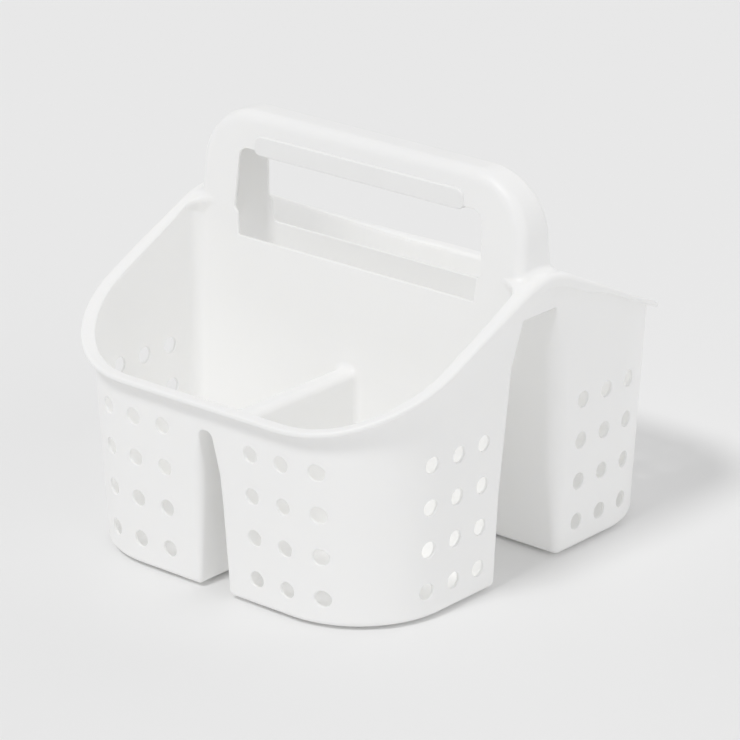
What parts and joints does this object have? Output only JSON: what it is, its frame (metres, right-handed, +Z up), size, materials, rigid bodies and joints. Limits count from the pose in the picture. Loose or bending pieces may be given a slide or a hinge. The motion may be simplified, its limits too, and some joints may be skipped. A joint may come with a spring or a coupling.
{
  "type": "cleaning caddy",
  "caption": "Open-topped plastic cleaning caddy with separate bins, saddle-shaped rim, drain holes and a hollow carrying handle.",
  "frame": {"origin": "under the middle of the caddy, on the surface that its feet stand on", "axes": "+Z up, X along the handle, +Y from the front bins to the rear bins"},
  "size_m": [0.27, 0.3088, 0.245],
  "materials": {
    "body_plastic": "satin white moulded polypropylene",
    "grip_plastic": "fine matt texture on white moulded plastic"
  },
  "bodies": {
    "root": {"front_left_bin": "body_plastic", "front_right_bin": "body_plastic", "rear_left_bin": "body_plastic", "rear_right_bin": "body_plastic", "rim": "body_plastic", "handle": "body_plastic", "grip_insert": "grip_plastic"}
  },
  "joints": []
}
